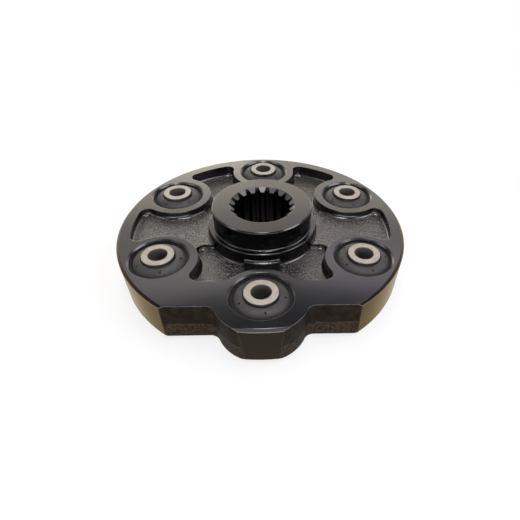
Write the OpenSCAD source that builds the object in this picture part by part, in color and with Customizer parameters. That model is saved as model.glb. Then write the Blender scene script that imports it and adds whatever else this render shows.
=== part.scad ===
// Rotor drive coupling: one iron casting with a splined hub and six bonded rubber bushings.
// The shaft axis is Z, the index lobe points to -Y and the six bushing sleeves stand on z = 0.

/* [Disc] */
// Outside diameter of the turned disc
disc_d = 280; // [260:2:310]
// Thickness of the disc between its machined faces
disc_t = 38; // [32:1:48]
// Chamfer turned on the upper outside edge
rim_chamfer = 2.2; // [0.6:0.2:3]
// Edge break on the lower outside edge
under_chamfer = 1.2; // [0.4:0.2:2.4]

/* [Index lobe] */
// Distance from the outside of the disc in to the cast flats beside the lobe, at the upper face
flat_inset = 26.2; // [22:0.2:30]
// Radius of the lobe round the front bushing, at the upper face
lobe_r = 40.8; // [39:0.2:42]
// Fillet between the lobe and the flats, at the upper face
lobe_fillet = 8; // [5:0.5:12]
// Draft of the cast side walls, as the offset over the disc thickness
side_draft = 1.2; // [0.4:0.1:2]

/* [Pockets] */
// Width of the plain rim outside the pockets
rim_w = 12.5; // [10:0.5:16]
// Radius of the raised boss round each bushing
boss_r = 35.5; // [34:0.5:38]
// Distance the three front bosses sit forward of their bores
boss_forward = 3; // [0:0.5:4]
// Distance from the cast flats back to the straight front edge of the pockets
front_land = 29.3; // [24:0.1:32]
// Depth of the two side pockets and the front and rear webs
shallow_depth = 7; // [5:0.5:9]
// Depth of the four corner pockets
deep_depth = 11.8; // [10:0.2:15]
// Half width of the front and rear webs
web_half = 16.5; // [12:0.5:20]
// Distance from the side bushings in to the steps between side and corner pockets
step_inset = 27.5; // [24:0.5:33]
// Corner radius of the pockets in plan
corner_r = 8; // [6:0.5:10]
// Fillet between the pocket walls and floors
floor_fillet = 3.4; // [2:0.2:4.4]
// Fillet at the foot of the steps
step_fillet = 2.4; // [1:0.2:3.4]

/* [Hub] */
// Diameter of the turned hub
hub_d = 96; // [90:1:100]
// Height of the hub above the upper face
hub_rise = 22; // [15:1:30]
// Diameter of the cast ring at the foot of the hub
ledge_d = 106; // [104:1:110]
// Height of that ring above the upper face
ledge_rise = 2.2; // [1.6:0.2:4]
// Chamfer on the upper edge of the hub
hub_chamfer = 1; // [0.4:0.2:2]
// Radius at the foot of the hub and on the edge of the ring
ledge_round = 1; // [0.4:0.2:1.4]

/* [Spline] */
// Number of internal spline teeth
spline_teeth = 18; // [14:1:24]
// Diameter over the roots of the tooth spaces
spline_major_d = 62.6; // [58:0.2:66]
// Diameter inside the tooth tips
spline_minor_d = 54; // [50:0.2:56]
// Width of the tooth spaces at half the tooth height
space_w = 4.2; // [3.6:0.1:4.8]
// Slope of the flanks to the middle of each space
flank_angle = 17; // [10:1:24]
// Height of the lead-in chamfer at each end
spline_lead = 3.6; // [2:0.2:5]
// Distance the lead-in opens past the roots of the spaces
lead_margin = 0.2; // [0.1:0.1:0.6]

/* [Bushings] */
// Distance from the outside of the disc in to the bushing circle
bolt_inset = 33; // [31:0.5:38]
// Distance the front bushing sits inside that circle
index_offset = 5; // [3:0.5:8]
// Diameter of the bushing bores in the casting
bore_d = 52; // [48:1:56]
// Chamfer at the mouth of each bore
bore_chamfer = 1.7; // [0.6:0.1:2.4]
// Wall of the outer steel shell
shell_wall = 1.8; // [1:0.1:2.6]
// Depth of the shell's ends below the faces of the disc
shell_inset = 2.6; // [2.4:0.1:4]
// Outside diameter of the inner sleeve
sleeve_d = 29; // [26:0.5:32]
// Diameter of the bolt hole through the inner sleeve
bolt_hole_d = 17; // [13:0.5:21]
// Distance the inner sleeve stands out of each face
sleeve_proud = 3.8; // [2:0.2:6]
// Edge break on the ends of the inner sleeve
sleeve_chamfer = 0.5; // [0.2:0.1:1]
// Height of the rubber above the face at the inner sleeve
rubber_crown = 0.8; // [0:0.1:1.6]
// Depth of the rubber below the face at the shell
rubber_dip = 3.6; // [2.8:0.1:5]
// Width of the moulded groove round the inner sleeve
groove_w = 1; // [0.6:0.1:1.6]
// Depth of that groove
groove_h = 2; // [1:0.2:3]
// Number of mould pin marks in each rubber
pin_count = 5; // [3:1:6]
// Diameter of the pin marks
pin_d = 1.8; // [1:0.1:2.4]
// Radius of the circle of pin marks
pin_circle_r = 20; // [19:0.2:21]

/* [Hidden] */
$fn = 96;
// How far a cut runs past the face that it opens
over = 4;
// Offset that keeps a corner arc from just touching the walls that it joins
blend = 0.04;
bush_count = 6;
// Turn of the pin marks in each rubber, from the front bushing round
pin_turn = [-8, -3, -5, 28, 26, -3];
disc_r = disc_d / 2;
hub_r = hub_d / 2;
ledge_r = ledge_d / 2;
bolt_r = disc_r - bolt_inset;
bore_r = bore_d / 2;
sleeve_r = sleeve_d / 2;
bolt_hole_r = bolt_hole_d / 2;
spline_major_r = spline_major_d / 2;
spline_minor_r = spline_minor_d / 2;
pocket_r = disc_r - rim_w;
flat_y = disc_r - flat_inset;
pocket_front_y = flat_y - front_land;
face_z = sleeve_proud + disc_t;
shell_bore_r = bore_r - shell_wall;

// The front bushing comes first, the others follow round the axis
function bush_angle(i) = 270 + i * 360 / bush_count;
function bush_dist(i) = bolt_r - (i == 0 ? index_offset : 0);
function bush_at(i) = bush_dist(i) * [cos(bush_angle(i)), sin(bush_angle(i))];
function is_front(i) = i == 0 || i == 1 || i == 5;
function boss_at(i) = bush_at(i) - [0, is_front(i) ? boss_forward : 0];
function unit(v) = v / norm(v);
step_y = bush_at(2).y - step_inset;

// Centre of the corner arc between the rim and boss i, on its side s
corner_reach = pocket_r - corner_r;
boss_reach = boss_r + corner_r;
function corner_swing(b) = acos((corner_reach ^ 2 + b * b - boss_reach ^ 2) / (2 * b * corner_reach));
function polar(r, a) = r * [cos(a), sin(a)];
function rim_corner(i, s) =
    polar(corner_reach, atan2(boss_at(i).y, boss_at(i).x) + s * corner_swing(norm(boss_at(i))));

// Centre of the corner arc at height y between a straight edge and boss i, on its side s
function edge_corner(i, s, y) = [boss_at(i).x + s * sqrt(boss_reach ^ 2 - (y - boss_at(i).y) ^ 2), y];
function front_corner(i, s) = edge_corner(i, s, corner_r - pocket_front_y);
function step_corner(i, s) = edge_corner(i, s, sign(boss_at(i).y) * (step_y + corner_r));

rim_corners = [[1, 1], [2, -1], [2, 1], [3, -1], [3, 1], [4, -1], [4, 1], [5, -1]];
front_corners = [[1, -1], [5, 1], [0, 1], [0, -1]];
step_corners = [[1, -1], [2, -1], [4, 1], [5, 1]];

// How far a wedge reaches behind its corner arc, past the cusp where the two walls would meet
cusp_reach = 3.25 * corner_r;
step_cusp_reach = 3.75 * corner_r;
lobe_cusp_reach = 1.75 * corner_r;

// Axis of the fillet cones between the lobe and the flats
lobe_at = bush_at(0);
fillet_axis_y = -(flat_y + lobe_fillet);
fillet_axis_x = sqrt((lobe_r + lobe_fillet) ^ 2 - (fillet_axis_y - lobe_at.y) ^ 2);

// A square with one edge rounded into a concave quarter, corner at the origin
module cove(r) {
    difference() {
        square(r);
        translate([r, r]) circle(r);
    }
}

// Turned blank of the disc
module disc_blank() {
    rotate_extrude()
        polygon([[0, 0], [disc_r - under_chamfer, 0], [disc_r, under_chamfer],
                 [disc_r, disc_t - rim_chamfer], [disc_r - rim_chamfer, disc_t], [0, disc_t]]);
}

// Space beside the lobe, in front of the drafted flats
module lobe_notches() {
    difference() {
        rotate([90, 0, 90])
            linear_extrude(2 * disc_r, center = true)
                polygon([[-disc_r - over, -over],
                         [-flat_y + side_draft * (disc_t + over) / disc_t, -over],
                         [-flat_y - side_draft * over / disc_t, disc_t + over],
                         [-disc_r - over, disc_t + over]]);
        lobe_cone(lobe_r, -1, lobe_at);
        difference() {
            translate([0, 0, -over])
                linear_extrude(disc_t + 2 * over)
                    polygon([[-fillet_axis_x, lobe_at.y + over], [-fillet_axis_x, fillet_axis_y], lobe_at,
                             [fillet_axis_x, fillet_axis_y], [fillet_axis_x, lobe_at.y + over]]);
            for (s = [-1, 1])
                lobe_cone(lobe_fillet + blend, 1, [s * fillet_axis_x, fillet_axis_y]);
        }
    }
}

// Drafted round: radius r at the upper face, growing downwards for sense 1
module lobe_cone(r, sense, at) {
    slope = sense * side_draft / disc_t;
    translate([at.x, at.y, -over])
        cylinder(h = disc_t + 2 * over, r1 = r + slope * (disc_t + over), r2 = r - slope * over);
}

// Pocket d deep: a ring between the hub and the rim, less the bosses and the straight front edge
module pocket(d) {
    difference() {
        ring_cut(d);
        for (i = [0:bush_count - 1])
            translate(boss_at(i)) boss_post(d);
        front_bar(d);
        for (c = rim_corners)
            rim_wedge(c[0], c[1]);
        for (c = front_corners)
            front_wedge(c[0], c[1]);
    }
    for (c = rim_corners)
        intersection() {
            translate(rim_corner(c[0], c[1])) corner_cut(d, floor_fillet);
            rim_wedge(c[0], c[1]);
        }
    for (c = front_corners)
        intersection() {
            translate(front_corner(c[0], c[1])) corner_cut(d, floor_fillet);
            front_wedge(c[0], c[1]);
        }
}

module ring_cut(d) {
    rotate_extrude()
        difference() {
            translate([ledge_r, -d]) square([pocket_r - ledge_r, d + over]);
            translate([ledge_r, -d]) cove(floor_fillet);
            translate([pocket_r, -d]) mirror([1, 0]) cove(floor_fillet);
        }
}

module boss_post(d) {
    rotate_extrude() {
        translate([0, -d - over]) square([boss_r, d + 3 * over]);
        translate([boss_r, -d]) cove(floor_fillet);
    }
}

module corner_cut(d, foot) {
    rotate_extrude()
        difference() {
            translate([0, blend - d]) square([corner_r - blend, d + over / 2]);
            translate([corner_r - blend, blend - d]) mirror([1, 0]) cove(foot);
        }
}

module front_bar(d) {
    rotate([90, 0, 90])
        linear_extrude(2 * pocket_r, center = true) {
            translate([-disc_r, -d - over]) square([disc_r - pocket_front_y, d + 3 * over]);
            translate([-pocket_front_y, -d]) cove(floor_fillet);
        }
}

// Upright wedge behind a corner arc, from its centre f between the directions u and v
module wedge(f, u, v, reach) {
    translate([0, 0, -deep_depth - 2 * over])
        linear_extrude(deep_depth + 5 * over)
            polygon([f, f + (corner_r + over) * u, f + reach * unit(u + v), f + (corner_r + over) * v]);
}

module rim_wedge(i, s) {
    f = rim_corner(i, s);
    wedge(f, unit(f), unit(boss_at(i) - f), cusp_reach);
}

module front_wedge(i, s) {
    f = front_corner(i, s);
    wedge(f, [0, -1], unit(boss_at(i) - f), i == 0 ? lobe_cusp_reach : cusp_reach);
}

module step_wedge(i, s) {
    f = step_corner(i, s);
    wedge(f, [0, -sign(f.y)], unit(boss_at(i) - f), step_cusp_reach);
}

// Side pockets and webs at the shallow depth, up to the corner arcs of the deep pockets
module shallow_cut() {
    intersection() {
        pocket(shallow_depth);
        union() {
            cube([2 * disc_r, 2 * step_y, 4 * deep_depth], center = true);
            cube([2 * web_half, 2 * disc_r, 4 * deep_depth], center = true);
            for (x = [-1, 1])
                translate([x * (bush_at(1).x + disc_r / 2), 0, 0])
                    cube([disc_r, 2 * disc_r, 4 * deep_depth], center = true);
            for (c = step_corners)
                step_wedge(c[0], c[1]);
        }
    }
}

// Corner pockets at the full depth, with a fillet left at the foot of each step
module deep_cut() {
    difference() {
        intersection() {
            pocket(deep_depth);
            deep_region();
        }
        for (c = step_corners)
            step_wedge(c[0], c[1]);
    }
    for (c = step_corners)
        intersection() {
            translate(step_corner(c[0], c[1])) corner_cut(deep_depth, step_fillet);
            step_wedge(c[0], c[1]);
            ring_cut(deep_depth);
        }
}

module deep_region() {
    difference() {
        for (x = [-1, 1], y = [-1, 1])
            scale([x, y, 1])
                translate([web_half, step_y, -2 * deep_depth])
                    cube([bush_at(1).x - web_half, disc_r, 4 * deep_depth]);
        for (y = [-1, 1])
            scale([1, y, 1])
                rotate([90, 0, 90])
                    linear_extrude(2 * disc_r, center = true)
                        translate([step_y, -deep_depth]) cove(step_fillet);
        for (x = [-1, 1])
            scale([x, 1, 1])
                rotate([90, 0, 0])
                    linear_extrude(2 * disc_r, center = true)
                        translate([web_half, -deep_depth]) cove(step_fillet);
    }
}

// Turned hub with the cast ring at its foot
module hub() {
    rotate_extrude() {
        difference() {
            union() {
                translate([0, -over]) square([hub_r - over, over]);
                square([ledge_r, ledge_rise]);
            }
            translate([ledge_r, ledge_rise]) rotate(180) cove(ledge_round);
        }
        translate([hub_r, ledge_rise]) cove(ledge_round);
        polygon([[0, ledge_rise], [hub_r, ledge_rise], [hub_r, hub_rise - hub_chamfer],
                 [hub_r - hub_chamfer, hub_rise], [0, hub_rise]]);
    }
}

// Internal spline: straight-sided spaces between the minor and the major circle
module spline_cut() {
    tooth_h = spline_major_r - spline_minor_r;
    mouth = space_w / 2 + tooth_h / 2 * tan(flank_angle);
    root = space_w / 2 - (tooth_h / 2 + blend) * tan(flank_angle);
    translate([0, 0, -over])
        linear_extrude(disc_t + hub_rise + 2 * over) {
            circle(spline_minor_r);
            intersection() {
                circle(spline_major_r);
                for (i = [0:spline_teeth - 1])
                    rotate(90 + (i + 0.5) * 360 / spline_teeth)
                        polygon([[0, -mouth], [spline_minor_r, -mouth], [spline_major_r + blend, -root],
                                 [spline_major_r + blend, root], [spline_minor_r, mouth], [0, mouth]]);
            }
        }
    lead_r = spline_major_r + lead_margin;
    lead = (lead_r - spline_minor_r) / spline_lead;
    for (end = [0, 1])
        translate([0, 0, end * (disc_t + hub_rise)])
            mirror([0, 0, 1 - end])
                translate([0, 0, -spline_lead - over])
                    cylinder(h = spline_lead + 2 * over, r1 = spline_minor_r - lead * over,
                             r2 = lead_r + lead * over);
}

module bore_cut() {
    translate([0, 0, -over]) cylinder(h = disc_t + 2 * over, r = bore_r);
    for (end = [0, 1])
        translate([0, 0, end * disc_t])
            mirror([0, 0, 1 - end])
                translate([0, 0, -bore_chamfer - over])
                    cylinder(h = bore_chamfer + 2 * over, r1 = bore_r - over,
                             r2 = bore_r + bore_chamfer + over);
}

module coupling_body() {
    color([0.12, 0.12, 0.13])
        translate([0, 0, sleeve_proud])
            difference() {
                union() {
                    difference() {
                        disc_blank();
                        lobe_notches();
                        translate([0, 0, disc_t]) shallow_cut();
                        translate([0, 0, disc_t]) deep_cut();
                    }
                    translate([0, 0, disc_t]) hub();
                }
                spline_cut();
                for (i = [0:bush_count - 1])
                    translate(bush_at(i)) bore_cut();
            }
}

// Outer steel shell of bushing i, pressed into the casting
module shell(i) {
    color([0.2, 0.2, 0.21])
        translate([bush_at(i).x, bush_at(i).y, sleeve_proud + shell_inset])
            difference() {
                cylinder(h = disc_t - 2 * shell_inset, r = bore_r);
                translate([0, 0, -over]) cylinder(h = disc_t - 2 * shell_inset + 2 * over, r = shell_bore_r);
            }
}

// Half section of the rubber: crowned above mid height, with a groove beside the sleeve
module rubber_half() {
    crown_x = sleeve_r + groove_w;
    span = shell_bore_r - crown_x;
    drop = rubber_crown + rubber_dip;
    crown_r = (span * span + drop * drop) / (2 * drop);
    difference() {
        translate([sleeve_r, 0]) square([shell_bore_r - sleeve_r, disc_t / 2 + rubber_crown]);
        translate([crown_x, disc_t / 2 - rubber_dip])
            difference() {
                square([span + over, drop + over]);
                translate([0, drop - crown_r]) circle(crown_r);
            }
        translate([sleeve_r - over, disc_t / 2 + rubber_crown - groove_h])
            square([groove_w + over, groove_h + over]);
    }
}

// Rubber of bushing i, bonded between the shell and the sleeve
module rubber(i) {
    color([0.25, 0.25, 0.25])
        translate([bush_at(i).x, bush_at(i).y, sleeve_proud + disc_t / 2])
            difference() {
                rotate_extrude() {
                    rubber_half();
                    mirror([0, 1]) rubber_half();
                }
                for (k = [0:pin_count - 1])
                    rotate(pin_turn[i] + k * 360 / pin_count)
                        translate([pin_circle_r, 0, disc_t / 2 - rubber_dip])
                            cylinder(h = disc_t, d = pin_d);
            }
}

// Inner steel sleeve of bushing i, which takes the bolt
module sleeve(i) {
    color([0.85, 0.82, 0.76])
        translate([bush_at(i).x, bush_at(i).y, 0])
            rotate_extrude()
                polygon([[bolt_hole_r + sleeve_chamfer, 0], [sleeve_r - sleeve_chamfer, 0],
                         [sleeve_r, sleeve_chamfer], [sleeve_r, face_z + sleeve_proud - sleeve_chamfer],
                         [sleeve_r - sleeve_chamfer, face_z + sleeve_proud],
                         [bolt_hole_r + sleeve_chamfer, face_z + sleeve_proud],
                         [bolt_hole_r, face_z + sleeve_proud - sleeve_chamfer],
                         [bolt_hole_r, sleeve_chamfer]]);
}

coupling_body();
shell(0);  // shell_1
shell(1);  // shell_2
shell(2);  // shell_3
shell(3);  // shell_4
shell(4);  // shell_5
shell(5);  // shell_6
rubber(0);  // rubber_1
rubber(1);  // rubber_2
rubber(2);  // rubber_3
rubber(3);  // rubber_4
rubber(4);  // rubber_5
rubber(5);  // rubber_6
sleeve(0);  // sleeve_1
sleeve(1);  // sleeve_2
sleeve(2);  // sleeve_3
sleeve(3);  // sleeve_4
sleeve(4);  // sleeve_5
sleeve(5);  // sleeve_6
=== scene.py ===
import math

import bpy
import numpy as np
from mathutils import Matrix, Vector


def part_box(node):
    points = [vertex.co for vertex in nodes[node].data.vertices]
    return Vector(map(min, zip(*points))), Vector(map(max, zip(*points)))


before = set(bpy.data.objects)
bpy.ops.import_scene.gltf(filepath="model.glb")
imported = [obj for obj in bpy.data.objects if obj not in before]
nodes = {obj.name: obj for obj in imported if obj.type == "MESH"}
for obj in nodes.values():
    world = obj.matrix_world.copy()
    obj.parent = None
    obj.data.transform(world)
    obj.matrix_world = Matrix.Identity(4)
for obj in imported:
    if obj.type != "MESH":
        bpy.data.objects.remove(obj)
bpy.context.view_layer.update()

# The casting is one piece of iron: the disc with its index lobe, the relief pockets and the
# splined hub. Its faces, hub, rim, bores and spline are machined and the rest is left as cast.
# Black paint covers the top, the pockets and the hub; the outer sides are bare, browned iron.
MM = 1000.0
SOFT = 0.4
BUSHINGS = range(1, 7)
casting_low, casting_high = (np.array(corner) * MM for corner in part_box("coupling_body"))
sleeve_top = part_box("sleeve_1")[1].z * MM
foot_z = casting_low[2]
face_z = sleeve_top - foot_z
hub_z = casting_high[2]
disc_r = casting_high[0]
hub_r = 48.0
ledge_r = 53.0
spline_major_r = 31.3
spline_lead = 3.6
pocket_r = 127.5
pocket_front_y = -84.5
pocket_depth = 13.0
web_half = 16.5
bore_mouth_r = 28.0
lobe_root_r = 97.5
nose_depth = 8.0
nose_blend = 4.0
rim_chamfer = 2.6
parting_z = foot_z + 15.5
highlight_depth = 6.0
highlight_from_y, highlight_full_y = -70.0, -90.0
shade_from_y, shade_full_y = -42.0, -50.0
shade_inner, shade_outer = 24.0, 48.0
edge_round = 0.0008
sand_depth = 0.00034
bush_centres = [
    (np.array(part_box(f"sleeve_{i}")).mean(axis=0) * MM)[:2] for i in BUSHINGS
]

# Slopes are given by the upward part of the surface's normal, which is 1 on a level face and 0
# on an upright wall. A pair is where a mask starts and is full, and four values make a window.
LEVEL = (0.92, 0.99)
STEEP = (0.5, 0.2)
RIM_SLOPE = (0.55, 0.65, 0.78, 0.85)
NOSE_SLOPE = (0.60, 0.66, 0.75, 0.80)
EDGE_HIGHLIGHT_SLOPE = (0.12, 0.30, 0.60, 0.68)


class Reading:
    """A number, colour or vector read at each point of a surface; arithmetic adds Math nodes."""

    def __init__(self, finish, socket):
        self.finish = finish
        self.socket = socket

    def math(self, operation, first, second):
        return self.finish.node("ShaderNodeMath", {"operation": operation}, {0: first, 1: second})

    def __add__(self, other):
        return self.math("ADD", self, other)

    def __sub__(self, other):
        return self.math("SUBTRACT", self, other)

    def __mul__(self, other):
        return self.math("MULTIPLY", self, other)

    def __rsub__(self, other):
        return self.math("SUBTRACT", other, self)

    __radd__ = __add__
    __rmul__ = __mul__

    def least(self, other):
        return self.math("MINIMUM", self, other)

    def most(self, other):
        return self.math("MAXIMUM", self, other)

    def rise(self, low, high):
        """0 below low, 1 above high and a smooth step between; it falls with low above high."""
        ends = {0: self, 1: low, 2: high}
        return self.finish.node("ShaderNodeMapRange", {"interpolation_type": "SMOOTHSTEP"}, ends)

    def within(self, low, full_low, full_high, high):
        """1 from full_low to full_high, and 0 below low and above high."""
        return self.rise(low, full_low) * self.rise(high, full_high)

    def stretch(self):
        """Noise lies mostly between 0.3 and 0.7, and this spreads it from 0 to 1."""
        return self.rise(0.3, 0.7)

    def part(self, name):
        """One component of a vector, by its letter."""
        return self.finish.node("ShaderNodeSeparateXYZ", {}, {"Vector": self}, name)


class Finish:
    """A material or the world: a node tree with one shader, and the readings it offers."""

    def __init__(self, owner):
        owner.use_nodes = True
        self.owner = owner
        self.tree = owner.node_tree
        self.shader = self.tree.nodes[0]

    def node(self, kind, settings, inputs, output=0):
        """Adds a node, sets its properties, fills its inputs and reads one of its outputs."""
        made = self.tree.nodes.new(kind)
        for key, value in settings.items():
            setattr(made, key, value)
        self.fill(made, inputs)
        return Reading(self, made.outputs[output])

    def fill(self, made, inputs):
        """Links each reading to its input, and sets plain values on the socket."""
        for key, value in inputs.items():
            if isinstance(value, Reading):
                self.tree.links.new(value.socket, made.inputs[key])
            else:
                made.inputs[key].default_value = value

    def place(self):
        """Object coordinates in millimetres."""
        metres = self.node("ShaderNodeTexCoord", {}, {}, "Object")
        return self.node("ShaderNodeVectorMath", {"operation": "SCALE"}, {0: metres, "Scale": MM})

    def facing(self):
        """The direction that the surface faces, in the object's own frame."""
        return self.node("ShaderNodeTexCoord", {}, {}, "Normal")

    def grain(self, place, size, detail=2.0, roughness=0.5):
        """Cloudy noise whose blotches are about size millimetres wide, from 0 to 1."""
        inputs = {"Vector": place, "Scale": 1.0 / size, "Detail": detail, "Roughness": roughness}
        return self.node("ShaderNodeTexNoise", {}, inputs)

    def lines(self, along, pitch):
        """Fine parallel tool marks about pitch millimetres apart along one reading."""
        inputs = {"W": along, "Scale": 1.0 / pitch, "Detail": 1.0}
        return self.node("ShaderNodeTexNoise", {"noise_dimensions": "1D"}, inputs)

    def nearest(self, plan, centres):
        """Distance in plan from the nearest of several upright axes, in millimetres."""
        found = None
        for cx, cy in centres:
            ends = {0: plan, 1: (cx, cy, 0.0)}
            gap = self.node("ShaderNodeVectorMath", {"operation": "DISTANCE"}, ends, 1)
            found = gap if found is None else found.least(gap)
        return found

    def blend(self, factor, low, high):
        """The colour low where factor is 0 and high where it is 1."""
        inputs = {0: factor, 6: low, 7: high}
        return self.node("ShaderNodeMix", {"data_type": "RGBA"}, inputs, 2)

    def bump(self, height, distance, normal=None):
        """A normal bent by height, which is distance metres deep from 0 to 1."""
        inputs = {"Height": height, "Distance": distance}
        if normal is not None:
            inputs["Normal"] = normal
        return self.node("ShaderNodeBump", {}, inputs)

    def over(self, factor, kind, inputs):
        """Lays a second shader over the first where factor is 1."""
        first = Reading(self, self.shader.outputs[0])
        second = self.node(kind, {}, inputs)
        mixed = self.node("ShaderNodeMixShader", {}, {0: factor, 1: first, 2: second})
        self.fill(self.tree.nodes["Material Output"], {"Surface": mixed})

    def coat(self, *names, **sockets):
        """Fills the shader's sockets and puts the material on the named CAD nodes."""
        self.fill(self.shader, {key.replace("_", " "): value for key, value in sockets.items()})
        for name in names:
            nodes[name].data.materials.clear()
            nodes[name].data.materials.append(self.owner)


iron = Finish(bpy.data.materials.new("black_casting"))
on_iron = iron.place()
x, y, z = (on_iron.part(letter) for letter in "XYZ")
aside = x.most(0.0 - x)
iron_plan = iron.node("ShaderNodeCombineXYZ", {}, {"X": x, "Y": y})
axis_r = iron.node("ShaderNodeVectorMath", {"operation": "LENGTH"}, {0: iron_plan}, 1)
bore_gap = iron.nearest(iron_plan, bush_centres)
upward = iron.facing().part("Z")
rounded = iron.node("ShaderNodeBevel", {"samples": 6}, {"Radius": edge_round}, "Normal")
turn = rounded.part("Z")

below_face = z.rise(face_z - 0.15, face_z - 0.5)
outside_bores = bore_gap.rise(bore_mouth_r, bore_mouth_r + SOFT)
pocket = (
    below_face * outside_bores
    * axis_r.within(ledge_r - SOFT, ledge_r, pocket_r, pocket_r + SOFT)
    * z.rise(face_z - pocket_depth - 1.0, face_z - pocket_depth)
    * y.rise(pocket_front_y - 2.0 * SOFT, pocket_front_y - SOFT)
)
pocket_floor = pocket * upward.rise(*LEVEL)
web = pocket * aside.rise(web_half + 1.0, web_half - 1.0)
nose = y.rise(nose_depth - disc_r, nose_depth - nose_blend - disc_r)
nose_chamfer_painted_highlight = below_face * nose * upward.within(*NOSE_SLOPE)
rim_edge = (
    axis_r.rise(disc_r - rim_chamfer, disc_r - rim_chamfer + 0.3)
    * upward.within(*RIM_SLOPE) * (1.0 - nose)
)
sides = (
    upward.rise(*STEEP).most(rim_edge)
    * axis_r.rise(lobe_root_r, lobe_root_r + 1.0) * (1.0 - pocket)
)
cast_sides = sides * (1.0 - rim_edge) * axis_r.rise(disc_r - 0.2, disc_r - 0.5) * outside_bores
lower_band = cast_sides * z.rise(parting_z + SOFT, parting_z - SOFT)
parting = cast_sides * z.within(
    parting_z - 0.6, parting_z - 0.1, parting_z + 0.1, parting_z + 0.6
)
# A light line along the rounded top edges of the front flats and nose: a painted highlight.
painted_edge_highlight = (
    sides * z.rise(face_z - highlight_depth, face_z - highlight_depth + 2.0)
    * y.rise(highlight_from_y, highlight_full_y) * turn.within(*EDGE_HIGHLIGHT_SLOPE)
)
hub_wall = (
    axis_r.within(hub_r - 4.0, hub_r - 3.0, ledge_r + 0.2, ledge_r + 0.5) * turn.rise(0.25, 0.10)
)
bore_edge = bore_gap.rise(bore_mouth_r + 1.0, bore_mouth_r + 0.6) * turn.rise(0.99, 0.93)
spline = axis_r.rise(spline_major_r + 0.5, spline_major_r + 0.2)
upper_lead_in = z.rise(hub_z - spline_lead - 0.2, hub_z - spline_lead + 0.1)
lower_lead_in = z.rise(foot_z + spline_lead + 0.2, foot_z + spline_lead)
lead_in = spline * upper_lead_in.most(lower_lead_in)

sand = iron.grain(on_iron, 1.8).stretch()
clouds = iron.grain(on_iron, 28.0)
flow = iron.grain(on_iron, 7.0)
turned = iron.lines(axis_r + z, 0.45)
# In the inner corners of the front pockets, by the hub, fewer pale specks show, so the floor
# there is darker: painted shade.
painted_corner_shade = y.rise(shade_from_y, shade_full_y) * aside.rise(shade_outer, shade_inner)
# The pale specks on the pocket floors are partly bare grain tips and partly painted glints.
bare_sand_and_glints = iron.grain(on_iron, 1.0, 1.0).rise(0.42 + 0.13 * painted_corner_shade, 0.68 + 0.08 * painted_corner_shade)
specks_and_glints = pocket_floor * (1.0 - web) * bare_sand_and_glints

paint = iron.blend(clouds.stretch(), (0.0014, 0.0014, 0.0014, 1), (0.0028, 0.0026, 0.0026, 1))
colour = iron.blend(specks_and_glints, paint, (0.152, 0.139, 0.125, 1))
# The chamfer along the top of the nose is painted lighter grey: a painted highlight.
colour = iron.blend(nose_chamfer_painted_highlight, colour, (0.050, 0.049, 0.048, 1))
colour = iron.blend(spline, colour, (0.011, 0.0100, 0.0095, 1))
colour = iron.blend(lead_in, colour, (0.105, 0.101, 0.101, 1))

turned_iron = iron.blend(flow.stretch(), (0.030, 0.026, 0.022, 1), (0.042, 0.036, 0.031, 1))
# The bare iron is darker on the front of the nose than on the other sides: painted shade.
turned_iron = iron.blend(nose, turned_iron, (0.022, 0.019, 0.0165, 1))
cast_iron = iron.blend(
    flow.stretch(), (0.0080, 0.0056, 0.0039, 1), (0.0170, 0.0121, 0.0085, 1)
)
cast_band = iron.blend(sand, (0.0110, 0.0078, 0.0055, 1), (0.046, 0.033, 0.0235, 1))
cast_iron = iron.blend(lower_band, cast_iron, cast_band)
cast_iron = iron.blend(parting * flow.rise(0.35, 0.6), cast_iron, (0.065, 0.050, 0.038, 1))
skin = iron.blend(cast_sides, turned_iron, cast_iron)
# Light grey on those rounded edges is the painted highlight.
skin = iron.blend(painted_edge_highlight, skin, (0.34, 0.31, 0.28, 1))
skin = iron.blend(hub_wall, skin, paint)

paint_rough = (
    0.12 + 0.05 * clouds + 0.02 * turned
    + 0.04 * pocket_floor + 0.24 * spline + 0.11 * bore_edge
)
skin_rough = 0.22 + 0.06 * clouds + 0.30 * cast_sides
relief_height = (
    pocket * (0.18 + 0.82 * pocket_floor * (1.0 - 0.9 * web)) * sand
    + cast_sides * (0.30 + 0.50 * lower_band) * sand
    + (1.0 - pocket) * (1.0 - cast_sides) * (0.009 * turned + 0.018 * flow)
)
relief = iron.bump(relief_height, sand_depth, rounded)
iron.coat(
    "coupling_body", Base_Color=colour, Metallic=0.5 * specks_and_glints + spline,
    Roughness=paint_rough, IOR=1.75, Normal=relief,
)
bare_iron = {
    "Base Color": skin, "Metallic": (1.0 - cast_sides) * (1.0 - hub_wall),
    "Roughness": skin_rough, "IOR": 1.12, "Specular Tint": (1.0, 0.85, 0.63, 1),
    "Normal": relief,
}
iron.over(sides.most(0.75 * hub_wall), "ShaderNodeBsdfPrincipled", bare_iron)

# Each bushing is pressed into its bore by an outer steel shell, cut from thin tube and left oiled
# and dark. Only its ends show, as a ring in the bottom of the gap round the rubber.
shell = Finish(bpy.data.materials.new("shell_steel"))
dull = shell.grain(shell.place(), 4.0, 3.0)
shell.coat(
    *[f"shell_{i}" for i in BUSHINGS],
    Base_Color=shell.blend(dull.stretch(), (0.006, 0.0058, 0.0056, 1), (0.013, 0.0125, 0.012, 1)),
    Roughness=0.50 + 0.2 * dull, Specular_IOR_Level=0.2,
)

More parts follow.
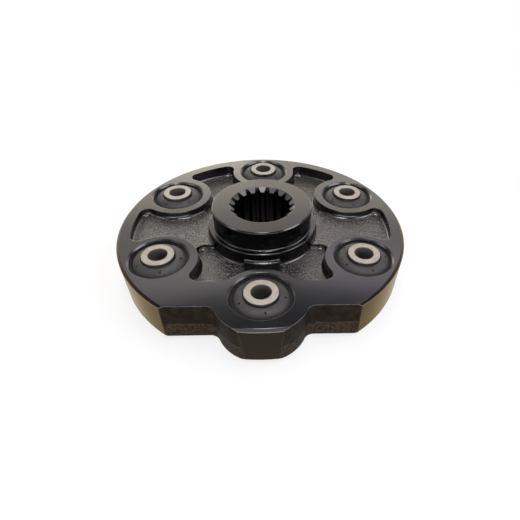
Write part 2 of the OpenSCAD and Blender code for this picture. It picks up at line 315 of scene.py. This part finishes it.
# The rubber is moulded and bonded between the shell and the sleeve, and mould pins leave small
# holes in it. It is matt and dark grey, with a little pale dust and bloom on the upper faces.
rubber = Finish(bpy.data.materials.new("bushing_rubber"))
on_rubber = rubber.place()
fine = rubber.grain(on_rubber, 0.9, 3.0, 0.6)
bloom = rubber.grain(on_rubber, 9.0, 3.0)
dust = bloom.rise(0.35, 0.75) * rubber.facing().part("Z").rise(0.6, 0.95)
rubber.coat(
    *[f"rubber_{i}" for i in BUSHINGS],
    Base_Color=rubber.blend(dust * 0.7, (0.0246, 0.0226, 0.0210, 1), (0.048, 0.044, 0.041, 1)),
    Roughness=0.52 + 0.12 * fine,
    Normal=rubber.bump(fine * 0.5 + bloom * 0.5, 0.0002),
)

# The inner sleeve is a length of thick steel tube, faced and chamfered at both ends and zinc
# plated. It takes the bolt, so it stands out of the rubber on both sides and carries the load.
bolt_hole_r = 8.5
sleeve_r = 14.5
sleeve = Finish(bpy.data.materials.new("plated_steel"))
on_sleeve = sleeve.place()
flatten = {0: on_sleeve, 1: (1.0, 1.0, 0.0)}
sleeve_plan = sleeve.node("ShaderNodeVectorMath", {"operation": "MULTIPLY"}, flatten)
sleeve_axis = sleeve.nearest(sleeve_plan, bush_centres)
upright = sleeve.facing().part("Z").rise(0.4, 0.1)
# Inside the bolt hole the plate is darker grey: painted shade.
shaded_hole = sleeve_axis.rise(bolt_hole_r + 0.5, bolt_hole_r + 0.1)
# The upright outside of the sleeve above the rubber is dark and not metallic: painted shade.
shaded_outside = sleeve_axis.rise(sleeve_r - 0.3, sleeve_r - 0.1) * upright
mottle = sleeve.grain(on_sleeve, 2.6, 4.0, 0.6)
scale = sleeve.grain(on_sleeve, 0.5)
plate = sleeve.blend(mottle.stretch(), (0.318, 0.291, 0.244, 1), (0.400, 0.370, 0.313, 1))
plate_with_shaded_side = sleeve.blend(shaded_outside, plate, (0.022, 0.021, 0.020, 1))
sleeve.coat(
    *[f"sleeve_{i}" for i in BUSHINGS],
    Base_Color=sleeve.blend(shaded_hole, plate_with_shaded_side, (0.12, 0.12, 0.105, 1)),
    Metallic=0.45 - 0.45 * shaded_outside,
    Roughness=0.50 + 0.12 * mottle,
    Normal=sleeve.bump(scale, 0.00008),
)

# The studio light is soft. Warm panels stand behind the part, windows at its sides and a low
# panel before it, and a strip overhead draws the bright lines along edges and fillets. The sky
# is brighter near the horizon.
scene = bpy.context.scene
scene.view_settings.view_transform = "Standard"
part_middle = (0.0, 0.0, 0.04)


def add_lamp(name, place, target, width, height, radiance, tint):
    """A rectangular lamp at place that looks at target; its face has the given radiance."""
    lamp = bpy.data.lights.new(name, "AREA")
    lamp.shape = "RECTANGLE"
    lamp.size = width
    lamp.size_y = height
    lamp.color = tint
    lamp.energy = radiance * math.pi * width * height
    stand = bpy.data.objects.new(name, lamp)
    scene.collection.objects.link(stand)
    stand.location = place
    aim = np.array(target) - np.array(place)
    tilt = math.atan2(math.hypot(aim[0], aim[1]), -aim[2])
    stand.rotation_euler = (tilt, 0.0, math.atan2(aim[1], aim[0]) - math.pi / 2)


lamps = [
    ("rear_panel", (-0.20, 1.95, 1.01), (-0.20, 0.0, 1.01), 4.2, 2.02, 0.80, (1.0, 0.91, 0.82)),
    ("rear_strip", (-0.10, 1.94, 0.65), (-0.10, 0.0, 0.65), 2.2, 1.30, 0.75, (1.0, 0.87, 0.68)),
    ("rear_left_strip", (-0.61, 1.93, 0.52), (-0.61, 0.0, 0.52), 0.98, 1.04, 1.2,
     (1.0, 0.96, 0.80)),
    ("rear_left_panel", (-0.475, 1.306, 1.336), part_middle, 0.75, 0.22, 0.85, (1.0, 0.93, 0.98)),
    ("rear_right_panel", (0.486, 1.335, 1.276), part_middle, 0.65, 0.28, 0.75, (0.80, 0.74, 1.0)),
    ("right_window", (0.75, -0.12, 0.86), part_middle, 0.70, 0.60, 4.5, (0.94, 0.90, 1.0)),
    ("left_window", (-0.75, -0.12, 0.86), part_middle, 0.50, 0.50, 2.2, (1.0, 0.96, 0.92)),
    ("front_panel", (0.0, -2.20, 0.55), (0.0, 0.0, 0.55), 3.0, 0.90, 4.0, (0.97, 0.97, 1.0)),
    ("overhead", (0.0, -0.05, 1.10), (0.0, -0.05, 0.0), 0.95, 0.17, 13.0, (1.0, 0.97, 0.95)),
]
for lamp in lamps:
    add_lamp(*lamp)

sky = Finish(bpy.data.worlds.new("sky"))
scene.world = sky.owner
sky_height = sky.node("ShaderNodeTexCoord", {}, {}, "Generated").part("Z")
haze = sky_height.rise(0.5, 0.15)
sky_colour = sky.blend(haze, (0.78, 0.84, 1.0, 1), (1.0, 1.0, 1.0, 1))
sky.fill(sky.shader, {"Color": sky_colour, "Strength": 0.17 + 0.63 * haze})

# The floor is pale paper that keeps the part's shadow. Seen by the camera, or mirrored in the
# part, it is mostly plain white, and wholly so further out.
floor_half = 12.0
shadow_near, shadow_far = 200.0, 420.0
floor_mesh = bpy.data.meshes.new("floor")
floor_corners = floor_half * np.array([(-1, -1, 0), (1, -1, 0), (1, 1, 0), (-1, 1, 0)], float)
floor_mesh.from_pydata(floor_corners.tolist(), [], [(0, 1, 2, 3)])
floor = bpy.data.objects.new("floor", floor_mesh)
scene.collection.objects.link(floor)
paper = Finish(bpy.data.materials.new("floor_paper"))
pale = {"Base Color": (0.92, 0.91, 0.89, 1), "Roughness": 0.9, "Specular IOR Level": 0.0}
paper.fill(paper.shader, pale)
white = {"Color": (1.0, 1.0, 1.0, 1.0), "Strength": 1.0}
background_rays = ("Is Camera Ray", "Is Glossy Ray", "Is Transmission Ray")
camera_ray, glossy_ray, through_ray = (
    paper.node("ShaderNodeLightPath", {}, {}, name) for name in background_rays
)
seen = camera_ray.most(glossy_ray).most(through_ray)
from_part = paper.node("ShaderNodeVectorMath", {"operation": "LENGTH"}, {0: paper.place()}, 1)
clear = (0.76 + 0.24 * from_part.rise(shadow_near, shadow_far)) * seen
paper.over(clear, "ShaderNodeEmission", white)
floor_mesh.materials.append(paper.owner)

# The camera stands in front of the lobe and looks down on the part, as in the photograph. The
# photo's optical axis isn't in its middle, so the lens is shifted.
picture_px = 520
focal_px = 379.1
axis_px = (286.5, 298.5)
camera_place = (0.0090, -0.3205, 0.2617)
camera_turn = (44.27, -1.06, -1.97)
lens = bpy.data.cameras.new("camera")
lens.sensor_fit = "HORIZONTAL"
lens.lens = lens.sensor_width * focal_px / picture_px
lens.shift_x = 0.5 - axis_px[0] / picture_px
lens.shift_y = axis_px[1] / picture_px - 0.5
camera = bpy.data.objects.new("camera", lens)
scene.collection.objects.link(camera)
camera.location = camera_place
camera.rotation_euler = [math.radians(angle) for angle in camera_turn]
scene.camera = camera
